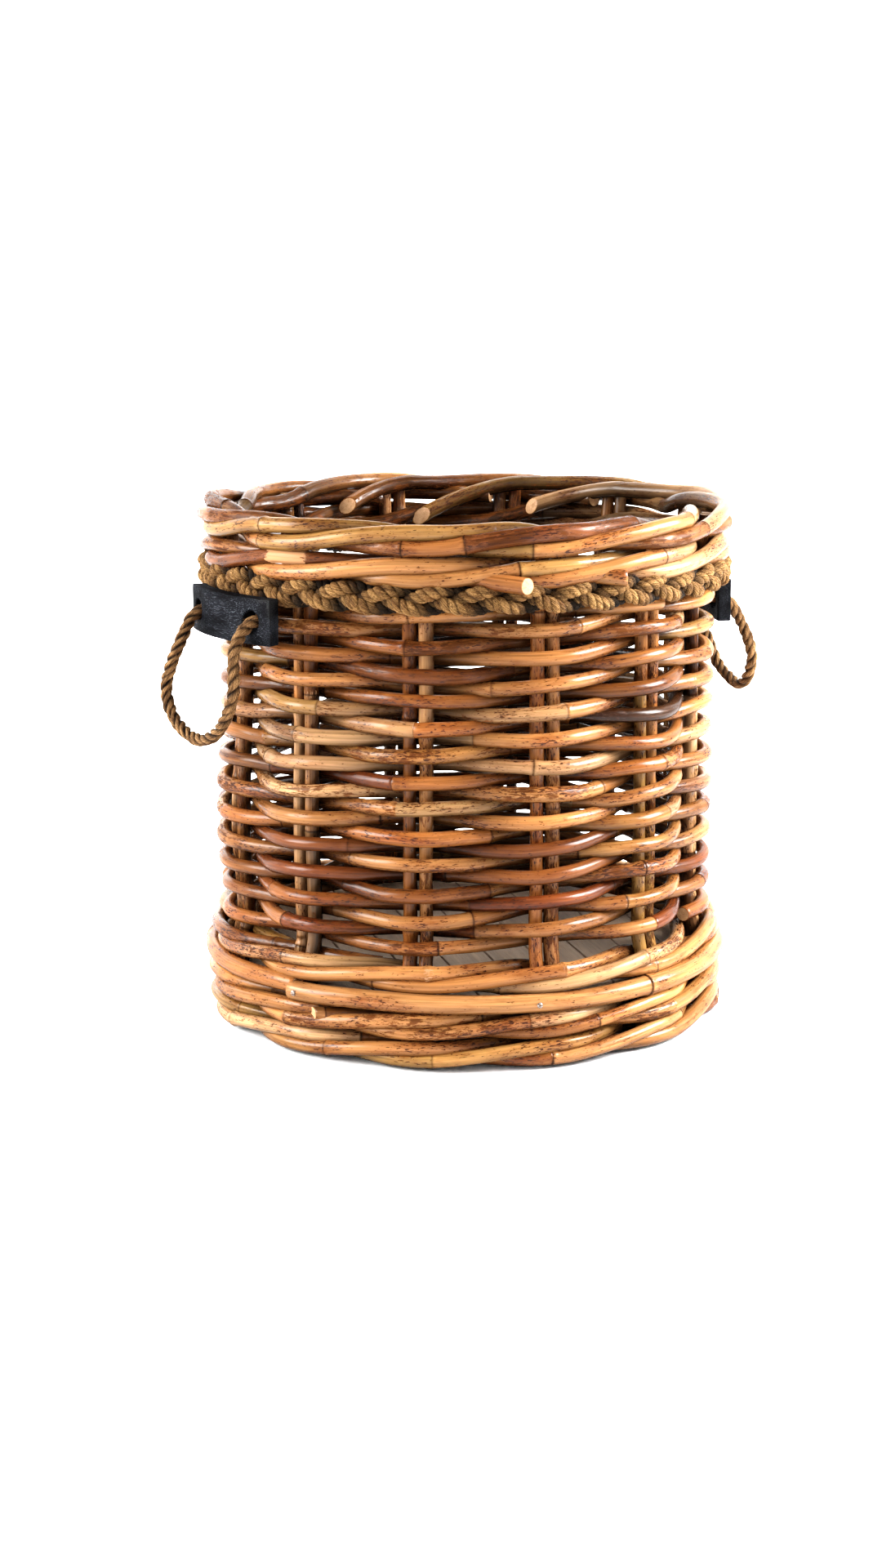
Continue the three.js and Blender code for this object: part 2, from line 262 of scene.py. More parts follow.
class Surface:
    """Gathers tubes into one mesh, with the values that the materials read at each point.

    Along is the place on a straightened cane: metres along it, then across its section.
    Tint is the cane's own colour times its painted shade, and on a rope it is painted shade alone. Marks
    holds node rings, bark and peeled skin, from 0 to 1.
    """

    def __init__(self):
        self.points, self.along, self.tint, self.marks = [], [], [], []
        self.quads, self.triangles = [], []
        self.count = 0

    def add_points(self, points, along, tint, marks):
        first = self.count
        self.points.append(points)
        self.along.append(along)
        self.tint.append(np.broadcast_to(tint, (len(points), 3)))
        self.marks.append(np.broadcast_to(marks, (len(points), 3)))
        self.count += len(points)
        return first

    def tube(self, line, radius, sides, normals, tint, marks=(0, 0, 0), start=0.0, caps=True, spin=0.0,
             cut=None):
        """A tube along the line. start sets where its pattern begins, and spin turns it, per metre.

        cut is the direction that the far end's cut face looks in, where that isn't straight on.
        """
        tangents = unit(np.gradient(line, axis=0))
        normals = unit(normals - tangents * (normals * tangents).sum(1, keepdims=True))
        across = np.cross(tangents, normals)
        angles = np.arange(sides) * 2 * np.pi / sides
        cosines, sines = np.cos(angles)[None, :, None], np.sin(angles)[None, :, None]
        circle = cosines * normals[:, None] + sines * across[:, None]
        radius = np.broadcast_to(radius, len(line))
        rings = line[:, None] + circle * radius[:, None, None]
        length = lengths_along(line)
        if cut is not None:
            cut = unit(cut)
            slant = -((rings[-1] - line[-1]) @ cut) / (tangents[-1] @ cut)
            near = np.clip(1 - (length[-1] - length) / CUT_REACH, 0, 1)
            rings = rings + near[:, None, None] * slant[None, :, None] * tangents[:, None]
        turned = angles[None, :] + spin * length[:, None]
        flat = radius[:, None, None] * np.stack([0 * turned, np.cos(turned), np.sin(turned)], axis=2)
        flat[:, :, 0] = start + length[:, None]
        count = len(line)
        tint = np.broadcast_to(tint, (count, sides, 3)).reshape(-1, 3)
        marks = np.repeat(np.broadcast_to(marks, (count, 3)), sides, axis=0)
        first = self.add_points(rings.reshape(-1, 3), flat.reshape(-1, 3), tint, marks)
        ring, side = np.meshgrid(np.arange(count - 1), np.arange(sides), indexing="ij")
        near, far = ring * sides, (ring + 1) * sides
        beside = (side + 1) % sides
        quads = np.stack([near + side, near + beside, far + beside, far + side], axis=2)
        self.quads.append((quads.reshape(-1, 4) + first, 0))
        if caps:
            far_face = tangents[-1] if cut is None else cut
            for end, facing in ((0, -tangents[0]), (count - 1, far_face)):
                self.cap(rings[end], line[end], facing, flat[end], tint[end * sides], first + end * sides,
                         end > 0)

    def cap(self, ring, centre, facing, flat, tint, first, forward):
        """A cut end: a small bevel, then the flat face, in the second material."""
        sides = len(ring)
        inner = centre + (ring - centre) * CUT_BEVEL + facing * CUT_BULGE
        inner_flat = flat * (1, CUT_BEVEL, CUT_BEVEL)
        lip = self.add_points(inner, inner_flat, tint, (0, 0, 0))
        middle, middle_flat = centre + facing * CUT_BULGE, flat.mean(0) * (1, 0, 0)
        hub = self.add_points(middle[None], middle_flat[None], tint, (0, 0, 0))
        side = np.arange(sides)
        beside = (side + 1) % sides
        walls = np.stack([first + side, first + beside, lip + beside, lip + side], axis=1)
        face = np.stack([lip + side, lip + beside, np.full(sides, hub)], axis=1)
        if not forward:
            walls, face = walls[:, ::-1], face[:, ::-1]
        self.quads.append((walls, 0))
        self.triangles.append((face, 1))

    def build(self, name, materials):
        points = np.concatenate(self.points)
        groups = self.quads + self.triangles
        corners = np.concatenate([faces.ravel() for faces, _ in groups])
        sizes = np.concatenate([np.full(len(faces), faces.shape[1]) for faces, _ in groups])
        kinds = np.concatenate([np.full(len(faces), kind) for faces, kind in groups])
        starts = np.concatenate([[0], np.cumsum(sizes)[:-1]])
        mesh = bpy.data.meshes.new(name)
        mesh.vertices.add(len(points))
        mesh.vertices.foreach_set("co", points.astype(np.float32).ravel())
        mesh.loops.add(len(corners))
        mesh.loops.foreach_set("vertex_index", corners.astype(np.int32))
        mesh.polygons.add(len(sizes))
        mesh.polygons.foreach_set("loop_start", starts.astype(np.int32))
        mesh.polygons.foreach_set("material_index", kinds.astype(np.int32))
        mesh.update(calc_edges=True)
        mesh.shade_smooth()
        store(mesh, "Along", np.concatenate(self.along))
        store(mesh, "Marks", np.concatenate(self.marks))
        tint = np.concatenate(self.tint)
        store(mesh, "Tint", np.column_stack([tint, np.ones(len(tint))]), "FLOAT_COLOR", "color")
        for material in materials:
            mesh.materials.append(material)
        return linked(name, mesh)


# ---- materials ----


class Tree:
    """A material's node tree, with short ways to add the nodes used here."""

    def __init__(self, name):
        self.material = bpy.data.materials.new(name)
        self.material.use_nodes = True
        self.nodes = self.material.node_tree.nodes
        self.links = self.material.node_tree.links
        self.shader = next(n for n in self.nodes if n.type == "BSDF_PRINCIPLED")

    def put(self, socket, value):
        if isinstance(value, bpy.types.NodeSocket):
            self.links.new(value, socket)
        else:
            socket.default_value = value

    def add(self, kind, inputs=None, **settings):
        made = self.nodes.new("ShaderNode" + kind)
        for key, value in settings.items():
            setattr(made, key, value)
        for key, value in (inputs or {}).items():
            self.put(made.inputs[key], value)
        return made

    def attribute(self, name, output):
        return self.add("Attribute", attribute_name=name).outputs[output]

    def noise(self, place, scale, detail=3.0, roughness=0.55, distortion=0.0):
        """Noise with its own number of grains a metre along each axis of the place."""
        stretched = self.add("Mapping", {"Vector": place, "Scale": scale}).outputs["Vector"]
        inputs = {"Vector": stretched, "Scale": 1.0, "Detail": detail, "Roughness": roughness,
                  "Distortion": distortion}
        return self.add("TexNoise", inputs).outputs["Fac"]

    def ranged(self, value, low, high, to_low=0.0, to_high=1.0):
        inputs = {"Value": value, "From Min": low, "From Max": high, "To Min": to_low, "To Max": to_high}
        return self.add("MapRange", inputs).outputs["Result"]

    def maths(self, operation, a, b):
        made = self.add("Math", operation=operation)
        self.put(made.inputs[0], a)
        self.put(made.inputs[1], b)
        return made.outputs[0]

    def marks(self):
        marks = self.attribute("Marks", "Vector")
        return self.add("SeparateXYZ", {"Vector": marks}).outputs

    def mix(self, factor, a, b, blend="MIX"):
        made = self.add("Mix", data_type="RGBA", blend_type=blend)
        self.put(made.inputs[0], factor)
        self.put(made.inputs[6], a)
        self.put(made.inputs[7], b)
        return made.outputs[2]

    def shade(self, colour, value):
        """The colour, made darker or lighter by a value about 1."""
        grey = self.add("CombineColor", {"Red": value, "Green": value, "Blue": value})
        return self.mix(1.0, colour, grey.outputs["Color"], "MULTIPLY")

    def bump(self, height, strength, distance):
        inputs = {"Height": height, "Strength": strength, "Distance": distance}
        normal = self.add("Bump", inputs).outputs["Normal"]
        self.put(self.shader.inputs["Normal"], normal)
        self.put(self.shader.inputs["Coat Normal"], normal)

    def set(self, **values):
        for key, value in values.items():
            self.put(self.shader.inputs[key.replace("_", " ")], value)


def rgb(red, green, blue):
    return (red, green, blue, 1.0)


def rattan_material():
    """Varnished cane: long streaks, soft stains, fine dark flecks, bark, peeled skin and node rings."""
    tree = Tree("rattan")
    place = tree.attribute("Along", "Vector")
    marks = tree.marks()
    streak = tree.noise(place, (12, 460, 460), 4.0, 0.6)
    stain = tree.noise(place, (13, 52, 52), 4.0, 0.62, 0.4)
    blotch = tree.noise(place, (75, 260, 260), 7.0, 0.72, 0.3)
    speck = tree.noise(place, (190, 800, 800), 2.0)
    # The cane's own colour, with the painted shade that the mesh carries.
    colour = tree.shade(tree.attribute("Tint", "Color"), tree.ranged(streak, 0.3, 0.7, 0.6, 1.24))
    darker = tree.mix(1.0, colour, rgb(0.46, 0.27, 0.17), "MULTIPLY")
    colour = tree.mix(tree.ranged(stain, 0.44, 0.68, 0, 0.85), colour, darker)
    barky_flecks = tree.maths("MULTIPLY", marks["Y"], 0.1)
    clouded = tree.maths("ADD", tree.ranged(stain, 0.4, 0.62, 0, 0.16), barky_flecks)
    flecks = tree.ranged(tree.maths("ADD", speck, clouded), 0.71, 0.755, 0, 0.9)
    colour = tree.mix(flecks, colour, rgb(0.03, 0.012, 0.006))
    barky = tree.maths("ADD", blotch, tree.maths("MULTIPLY", marks["Y"], 0.2))
    bark = tree.ranged(barky, 0.64, 0.71, 0, 0.85)
    bark_colour = tree.shade(rgb(0.055, 0.018, 0.005), tree.ranged(streak, 0.3, 0.7, 0.4, 2.2))
    colour = tree.mix(bark, colour, bark_colour)
    torn = tree.maths("ADD", marks["Z"], tree.maths("MULTIPLY", tree.maths("SUBTRACT", blotch, 0.5), 1.6))
    peel = tree.ranged(torn, 0.5, 0.58, 0, 0.9)
    bare = tree.shade(rgb(0.42, 0.225, 0.11), tree.ranged(streak, 0.25, 0.75, 0.6, 1.15))
    colour = tree.mix(peel, colour, bare)
    ring = tree.maths("MULTIPLY", marks["X"], tree.ranged(blotch, 0.25, 0.5, 0.55, 1.0))
    colour = tree.mix(ring, colour, rgb(0.018, 0.008, 0.004))
    dull = tree.maths("ADD", bark, tree.maths("MAXIMUM", peel, ring))
    tree.set(Base_Color=colour, Roughness=0.8, Specular_IOR_Level=0.0, Coat_Roughness=0.22,
             Coat_Weight=tree.ranged(dull, 0, 1, 0.4, 0.1))
    height = tree.maths("ADD", tree.maths("MULTIPLY", streak, 0.6), tree.maths("MULTIPLY", bark, -0.3))
    tree.bump(tree.maths("ADD", height, tree.maths("MULTIPLY", peel, -0.6)), 0.5, 0.0007)
    return tree.material


def cut_end_material():
    tree = Tree("cut_end")
    place = tree.attribute("Along", "Vector")
    pores = tree.noise(place, (1, 1500, 1500), 2.0)
    patch = tree.noise(place, (1, 240, 240), 3.0)
    colour = tree.mix(tree.ranged(patch, 0.35, 0.7), rgb(0.46, 0.27, 0.135), rgb(0.3, 0.16, 0.07))
    colour = tree.mix(tree.ranged(pores, 0.56, 0.66, 0, 0.7), colour, rgb(0.16, 0.075, 0.03))
    tree.set(Base_Color=colour, Roughness=tree.ranged(pores, 0, 1, 0.6, 0.85))
    tree.bump(pores, 0.4, 0.0004)
    return tree.material


def rope_material(name, light, dark):
    """Twisted natural fibre: fine strands along each ply, dark where they part."""
    tree = Tree(name)
    place = tree.attribute("Along", "Vector")
    strand = tree.noise(place, (70, 1500, 1500), 4.0, 0.65)
    patch = tree.noise(place, (60, 160, 160), 3.0)
    colour = tree.mix(tree.ranged(patch, 0.35, 0.68), light, dark)
    colour = tree.mix(tree.ranged(strand, 0.4, 0.62, 0.75, 0), colour, rgb(0.014, 0.006, 0.002))
    colour = tree.shade(colour, tree.ranged(strand, 0.3, 0.7, 0.6, 1.35))
    # Painted shade from the mesh: each ply darker on its hidden side and where it lies deep.
    colour = tree.mix(1.0, colour, tree.attribute("Tint", "Color"), "MULTIPLY")
    tree.set(Base_Color=colour, Roughness=tree.ranged(strand, 0.3, 0.7, 0.9, 0.55), Specular_IOR_Level=0.12)
    tree.bump(strand, 0.9, 0.0012)
    return tree.material


def plate_material():
    tree = Tree("ebonised_wood")
    place = tree.attribute("Along", "Vector")
    grain = tree.noise(place, (26, 700, 900), 5.0, 0.7, 0.15)
    scratch = tree.noise(place, (60, 1900, 2600), 2.0, 0.6)
    cloud = tree.noise(place, (22, 60, 60), 3.0)
    wear_and_sheen = tree.marks()["X"]
    colour = tree.mix(tree.ranged(cloud, 0.35, 0.65), rgb(0.0012, 0.0014, 0.002), rgb(0.006, 0.0068, 0.009))
    lines = tree.maths("MULTIPLY", tree.ranged(scratch, 0.57, 0.68), tree.ranged(cloud, 0.4, 0.6, 0.2, 0.9))
    colour = tree.mix(lines, colour, rgb(0.09, 0.095, 0.11))
    # Lighter at the ends, the top edge and one top corner: rubbed wear, with a painted sheen on the top edge
    # and the corner.
    edge = tree.maths("ADD", wear_and_sheen, tree.maths("MULTIPLY", tree.maths("SUBTRACT", grain, 0.5), 1.3))
    colour = tree.mix(tree.ranged(edge, 0.55, 0.8, 0, 0.4), colour, rgb(0.035, 0.034, 0.033))
    tree.set(Base_Color=colour, Roughness=0.8, Specular_IOR_Level=0.0, Coat_Weight=0.09,
             Coat_Roughness=tree.ranged(grain, 0.3, 0.7, 0.3, 0.6))
    tree.bump(grain, 0.8, 0.0008)
    return tree.material


def slat_material():
    tree = Tree("floor_board")
    place = tree.add("TexCoord").outputs["Object"]
    turned = tree.add("Mapping", {"Vector": place, "Rotation": (0, 0, math.radians(-76))})
    place = turned.outputs["Vector"]
    grain = tree.noise(place, (6, 190, 190), 6.0, 0.62, 0.4)
    cloud = tree.noise(place, (5, 21, 21), 3.0)
    pores = tree.noise(place, (60, 1300, 1300), 2.0)
    colour = tree.mix(tree.ranged(cloud, 0.35, 0.65), rgb(0.33, 0.235, 0.16), rgb(0.23, 0.16, 0.105))
    colour = tree.shade(colour, tree.ranged(grain, 0.3, 0.7, 0.72, 1.15))
    colour = tree.mix(tree.ranged(pores, 0.6, 0.7, 0, 0.5), colour, rgb(0.12, 0.07, 0.035))
    tree.set(Base_Color=colour, Roughness=tree.ranged(grain, 0.3, 0.7, 0.6, 0.8))
    tree.bump(grain, 0.35, 0.0006)
    return tree.material


def nail_material():
    tree = Tree("nail_steel")
    place = tree.add("TexCoord").outputs["Object"]
    rust = tree.noise(place, (700, 700, 700), 4.0, 0.65)
    colour = tree.mix(tree.ranged(rust, 0.42, 0.6), rgb(0.3, 0.27, 0.24), rgb(0.1, 0.05, 0.03))
    tree.set(Base_Color=colour, Metallic=0.75, Roughness=tree.ranged(rust, 0.3, 0.7, 0.35, 0.7))
    tree.bump(rust, 0.4, 0.0003)
    return tree.material


RATTAN = rattan_material()
CUT_END = cut_end_material()
HANDLE_ROPE = rope_material("handle_rope", rgb(0.37, 0.205, 0.088), rgb(0.12, 0.058, 0.022))
BAND_ROPE = rope_material("band_rope", rgb(0.4, 0.222, 0.082), rgb(0.15, 0.07, 0.022))
PLATE = plate_material()
SLAT = slat_material()
NAIL = nail_material()

# ---- ropes ----

# Each rope's diameter and its twist's pitch.
HANDLE_LAY, BAND_LAY = (ROPE_DIAMETER, 0.031), (0.0142, 0.023)
PLIES, PLY_SIDES = 3, 10
PLY_RADIUS, PLY_OFFSET = 0.27, 0.245        # as shares of the rope's diameter
ROPE_STEP = 0.0016
PLY_SWELL = 0.2
GAP_SHADE = 0.03        # painted shade: how light a ply is painted on its hidden side
GAP_EDGE = 0.05         # how far past a ply's edge the painted light still reaches
FIBRE_SPIN = 260        # how fast a ply's own fibres turn about it, in radians a metre
# How a ply strays round its rope, and how it swells: each a wavelength and a size.
PLY_STRAY, PLY_LUMPS = (0.08, 0.16), (0.03, 0.08)
# A loose hair's length, how far it lifts and where it leaves, as shares of the rope's diameter.
HAIR_LENGTH, HAIR_LIFT, HAIR_ROOT = (0.2, 0.5), (0.04, 0.2), 0.44
HAIR_RADIUS = 0.00012


def twisted_rope(surface, line, lay, rng, hairs, normals=transported, depth_shade=None):
    """Plies laid round the line, with loose hairs standing off them.

    normals gives each point's side direction, and depth gives how light the rope is painted there, as
    painted shade.
    """
    diameter, pitch = lay
    line = resampled(line, ROPE_STEP)
    length = lengths_along(line)
    normals = normals(line)
    tangents = unit(np.gradient(line, axis=0))
    across = np.cross(tangents, normals)
    phase = rng.uniform(0, 2 * np.pi)
    # Painted shade: a ply is painted dark on the side that faces its neighbours.
    facing = np.cos(np.arange(PLY_SIDES) * 2 * np.pi / PLY_SIDES)
    painted_gap_shade = GAP_SHADE + (1 - GAP_SHADE) * eased((facing + GAP_EDGE) / (1 - GAP_EDGE))
    tint = (painted_gap_shade * (depth_shade(line)[:, None] if depth_shade else 1))[..., None]
    for ply in range(PLIES):
        angle = phase + 2 * np.pi * (length / pitch + ply / PLIES) + wander(rng, length, *PLY_STRAY)
        side = np.cos(angle)[:, None] * normals + np.sin(angle)[:, None] * across
        middle = line + side * (PLY_OFFSET * diameter)
        # A ply swells where it lies free and is squeezed where it dives between the others.
        swell = PLY_SWELL * np.cos(angle) + wander(rng, length, *PLY_LUMPS)
        radius = PLY_RADIUS * diameter * (1 + swell)
        surface.tube(middle, radius, PLY_SIDES, side, tint, start=rng.uniform(0, 9), spin=FIBRE_SPIN)
    for _ in range(hairs):
        add_hair(surface, line, tangents, normals, across, diameter, rng)


def add_hair(surface, line, tangents, normals, across, diameter, rng):
    """A short bent fibre that leaves the rope's surface at a low angle."""
    at = rng.integers(2, len(line) - 2)
    turn = rng.uniform(0, 2 * np.pi)
    out = np.cos(turn) * normals[at] + np.sin(turn) * across[at]
    drift = unit(tangents[at] * rng.choice([-1, 1]) + np.cross(out, tangents[at]) * rng.normal(0, 0.5))
    length = rng.uniform(*HAIR_LENGTH) * diameter
    lift = rng.uniform(*HAIR_LIFT) * diameter
    t = np.linspace(0, 1, 4)[:, None]
    curl = np.cross(out, drift) * rng.normal(0, 0.15)
    hair = line[at] + out * (HAIR_ROOT * diameter + lift * t**1.4) + length * (drift * t + curl * t**2)
    surface.tube(hair, HAIR_RADIUS, 3, out, (1, 1, 1), start=rng.uniform(0, 9), caps=False)


def handle_point(side, local):
    """Points from a handle's own frame."""
    deg, z = HANDLES[side]
    return local @ side_axes(deg) + (0, 0, z)


SPLICE_HALF_GAP = 0.0006
ROPE_HAIRS = 260


def add_handle_rope(side, seed):
    """One rope for each handle: behind the plate, out of one hole, down, and back in at the other."""
    tie = [(TIE_RADIUS, SPLICE_HALF_GAP, 0), *TIE_HALF_ROUTE]
    far_tie = [(x, -y, z) for x, y, z in tie]
    line = handle_point(side, through([*far_tie, *LOOP_ROUTE[side], *reversed(tie)]))
    surface = Surface()
    twisted_rope(surface, line, HANDLE_LAY, np.random.default_rng(seed), ROPE_HAIRS)
    rope = surface.build(f"handle_rope_{side}", [HANDLE_ROPE, HANDLE_ROPE])
    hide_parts(f"rope_tie_{side}", f"rope_loop_{side}")
    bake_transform(rope)


add_handle_rope("left", 11)
add_handle_rope("right", 12)

# ---- canes ----

# Linear colours of varnished rattan. A cane takes one, and each length between nodes strays from it.
GOLDEN = (0.335, 0.15, 0.05)
ORANGE = (0.285, 0.108, 0.03)
OLIVE = (0.27, 0.146, 0.045)
BROWN = (0.17, 0.062, 0.016)
RED_BROWN = (0.13, 0.036, 0.01)
PALE = (0.41, 0.235, 0.112)
DARK = (0.035, 0.012, 0.004)
PALETTE = np.array([GOLDEN, ORANGE, OLIVE, BROWN, RED_BROWN, PALE, DARK])

CANE_SIDES = 16
CANE_STEP, RING_GAP = 0.005, 0.0003
UNDER_SHADE = 0.62      # painted shade: how dark a cane is painted underneath
INNER_SHADE = 0.5       # and on its side toward the basket's axis
FLOOR_CLEARANCE = 0.0002
# The chance that a length starts a new colour, how much of a second colour it takes and how rarely it
# takes much, and its lightness.
COLOUR_CHANGE_CHANCE = 0.3
STRAY_SHARE, STRAY_POWER = 0.9, 1.9
LIGHTNESS = (0.8, 1.2)
BARKY, SMOOTH = (0.35, 1.0), (0, 0.25)
# Nodes: how far one swells and along how much cane, the groove at its ring, and the chances of a dark
# ring and of torn skin.
NODE_BULGE, NODE_BULGE_REACH = (0.0003, 0.0012), 0.0045
GROOVE, GROOVE_REACH = 0.00035, 0.0008
RING_CHANCE, RING_DARKNESS, RING_REACH = 0.85, (0.5, 1.0), 0.0011
TORN_CHANCE, TORN_STRENGTH, TORN_REACH = 0.04, (0.45, 0.62), 0.008
# How a cane's thickness and bark change, each a wavelength and a size. Then its step at a node.
THICKNESS_DRIFT, BARK_DRIFT = (0.45, 0.00022), (0.12, 0.25)
STEP = 0.00018
# For a cane with its own colours: how far each goes to their mean, its lightness, steps and rings.
COAT_BLEND, COAT_LIGHTNESS, COAT_STEP, COAT_RING = 0.3, (0.9, 1.1), 0.00035, 0.9
NODE_OFFSETS = np.array([-0.009, -0.005, -0.0028, -0.0014, -0.0007, 0, 0.0007, 0.0014, 0.0028, 0.005, 0.009])


class Cane:
    """One rattan cane: its thickness, nodes, colours, bark and peeled spots, by distance along it."""

    def __init__(self, seed, length, diameter, weights, bark=0.3, gap=(0.14, 0.3), nodes=None):
        self.rng = rng = np.random.default_rng(seed)
        if nodes is None:
            nodes = [rng.uniform(0.02, gap[1])]
            while nodes[-1] < length:
                nodes.append(nodes[-1] + rng.uniform(*gap))
        self.nodes = np.array(nodes)
        self.diameter = diameter
        self.pattern_start = rng.uniform(0, 50)
        spots = len(self.nodes)
        count = spots + 1
        weights = np.array(weights, float) / np.sum(weights)
        # A long cane is pieced out from shorter ones, so each run of its lengths keeps one colour.
        runs = np.cumsum(rng.random(count) < COLOUR_CHANGE_CHANCE)
        family = rng.choice(len(PALETTE), size=count, p=weights)[runs]
        stray = rng.choice(len(PALETTE), size=count, p=weights)
        share = rng.uniform(0, STRAY_SHARE, count)[:, None] ** STRAY_POWER
        colours = PALETTE[family] * (1 - share) + PALETTE[stray] * share
        self.colours = colours * rng.uniform(*LIGHTNESS, (count, 1))
        barky = rng.random(count) < bark
        self.bark = np.where(barky, rng.uniform(*BARKY, count), rng.uniform(*SMOOTH, count))
        self.bulge = rng.uniform(*NODE_BULGE, spots)
        self.step = rng.normal(0, STEP, count)
        ringed = rng.uniform(*RING_DARKNESS, spots)
        self.darkness = ringed * (rng.random(spots) < RING_CHANCE)
        self.peel = None
        torn = rng.random(spots) < TORN_CHANCE
        self.torn = torn * rng.uniform(*TORN_STRENGTH, spots)

    def paint(self, deg, along, coats):
        """Gives the cane its own lengths: the angle where each begins, its colour and its bark."""
        begins, own, bark = (np.array(values) for values in zip(*coats))
        self.nodes = starts = np.interp(begins[1:], deg, along)
        count = len(coats)
        shades = self.rng.uniform(*COAT_LIGHTNESS, (count, 1))
        self.colours = (own + COAT_BLEND * own.mean(0)) / (1 + COAT_BLEND) * shades
        self.bark = bark
        self.bulge, self.step = self.bulge[0] + 0 * starts, self.rng.normal(0, COAT_STEP, count)
        self.darkness, self.torn = COAT_RING + 0 * starts, 0 * starts

    def places(self, length):
        """Where rings go: evenly, and closer together at each node."""
        even = np.linspace(0, length, max(4, int(length / CANE_STEP)))
        near = (self.nodes[:, None] + NODE_OFFSETS).ravel()
        near = near[(near > 0.001) & (near < length - 0.001)]
        every = np.unique(np.concatenate([even, near]))
        return every[np.diff(every, prepend=-1) > RING_GAP]

    def dress(self, places):
        """Radius, colour and marks at each place."""
        part = np.searchsorted(self.nodes, places)
        radius = self.diameter / 2 + wander(self.rng, places, *THICKNESS_DRIFT) + self.step[part]
        ring, torn = np.zeros(len(places)), np.zeros(len(places))
        for node, bulge, dark, tear in zip(self.nodes, self.bulge, self.darkness, self.torn):
            off = places - node
            radius += bulge * hump(off, NODE_BULGE_REACH) - GROOVE * hump(off, GROOVE_REACH)
            ring = np.maximum(ring, dark * hump(off, RING_REACH))
            torn = np.maximum(torn, tear * hump(off, TORN_REACH))
        if self.peel is not None:
            across = (places - self.peel.mean()) / (np.ptp(self.peel) / 2)
            torn = np.maximum(torn, 1.15 * np.clip(1 - 0.5 * across**2, 0, 1) * (np.abs(across) < 1.3))
        bark = self.bark[part] * (0.75 + wander(self.rng, places, *BARK_DRIFT))
        return radius, self.colours[part], np.stack([ring, bark, torn], axis=1)


def lay_cane(surface, cane, line, shade=None, cut=None):
    """Puts a cane along a line. shade is how light it is painted at each of the line's points, as painted
    shade.
    """
    along = lengths_along(line)
    places = cane.places(along[-1])
    points = pick(line, along, places)
    radius, colours, marks = cane.dress(places)
    if shade is not None:
        colours = colours * np.interp(places, along, shade)[:, None]
    points[:, 2] = np.maximum(points[:, 2], radius + FLOOR_CLEARANCE)
    # Painted shade: a cane is painted darker underneath and on the side that faces the stakes.
    turn = np.arange(CANE_SIDES) * 2 * np.pi / CANE_SIDES
    painted_shade = 1 - UNDER_SHADE * np.clip(np.sin(turn), 0, 1) - INNER_SHADE * np.clip(-np.cos(turn), 0, 1)
    colours = colours[:, None] * painted_shade[None, :, None]
    surface.tube(points, radius, CANE_SIDES, outward(points), colours, marks, cane.pattern_start, cut=cut)


def add_cane(node, slot, *laid):
    """A node's piece. Each cane laid for it has its line, and may have a shade and a cut."""
    surface = Surface()
    for cane, line, *options in laid:
        lay_cane(surface, cane, line, *options)
    made = surface.build(f"cane_{node}", [RATTAN, CUT_END])
    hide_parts(node)
    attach(made, "basket")


# Shares of GOLDEN, ORANGE, OLIVE, BROWN, RED_BROWN, PALE and DARK.
WEAVER_WEIGHTS = (4.8, 2.8, 1.9, 2.3, 1.5, 1.1, 0.5)
STAKE_WEIGHTS = (4, 1.2, 1, 1.2, 0.5, 1.6, 2.4)
RIM_WEIGHTS = (5, 1.8, 3, 1.4, 1.0, 0.8, 0)
FOOT_WEIGHTS = (5.5, 2.0, 2.0, 1.0, 0.5, 1.8, 0)
# How light a cane is painted where it lies behind the stakes: painted shade.
BACK_SHADE = 0.3
ANGLE_STEP = 0.5        # degrees between the points of a cane that goes round


def painted_back_shade(side):
    """How light a cane is painted in front of the stakes, where side is 1, and behind them, where it is -1:
    painted shade.
    """
    return 1 - (1 - BACK_SHADE) * (0.5 - 0.5 * side)


def smoothed(values, width_deg):
    reach = int(round(3 * width_deg / ANGLE_STEP))
    kernel = np.exp(-0.5 * ((np.arange(-reach, reach + 1) * ANGLE_STEP / width_deg) ** 2))
    return np.convolve(np.pad(values, reach, mode="edge"), kernel / kernel.sum(), mode="valid")


# The waves in the rows: height, how many fit round the wall, how they turn with height, and a start.
SETTLE_WAVES = [(0.0013, 2, 21, 0.6), (0.0011, 5, -34, 2.1), (0.0008, 9, 55, 4.0)]


def settle(deg, z):
    """How far the whole wall's rows stray up or down at a place, so that neighbours stray together."""
    angle = np.radians(deg)
    return sum(size * np.sin(waves * angle + turn * z + start) for size, waves, turn, start in SETTLE_WAVES)


STAKE_BARK, STAKE_NODE_GAP = 0.6, (0.12, 0.26)
STAKE_DIAMETER_SHARES = (0.94, 1.04)
WEAVER_DIAMETERS = (0.0132, 0.0144)
WEAVER_BARK = 0.36
WEAVE_SMOOTHING_DEG = 3.3
FIRST_REACH_DEG = 12    # how far before the first pair a series of weaving canes begins


def add_stakes():
    for pair in range(PAIR_COUNT):
        for side, sign in (("a", -1), ("b", 1)):
            node = f"stake_{pair + 1:02d}{side}"
            low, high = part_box(node)
            z = np.linspace(low.z, high.z, 140)
            seed = 1000 + 2 * pair + (sign > 0)
            rng = np.random.default_rng(seed)
            deg = pair_deg(pair) + sign * STAKE_SPREAD_DEG + wander(rng, z, 0.5, 0.1)
            line = ring_points(deg, wall_radius(z) + wander(rng, z, 0.35, 0.0006), z)
            diameter = STAKE_DIAMETER * rng.uniform(*STAKE_DIAMETER_SHARES)
            cane = Cane(seed, high.z, diameter, STAKE_WEIGHTS, STAKE_BARK, STAKE_NODE_GAP)
            add_cane(node, "stake", (cane, line))


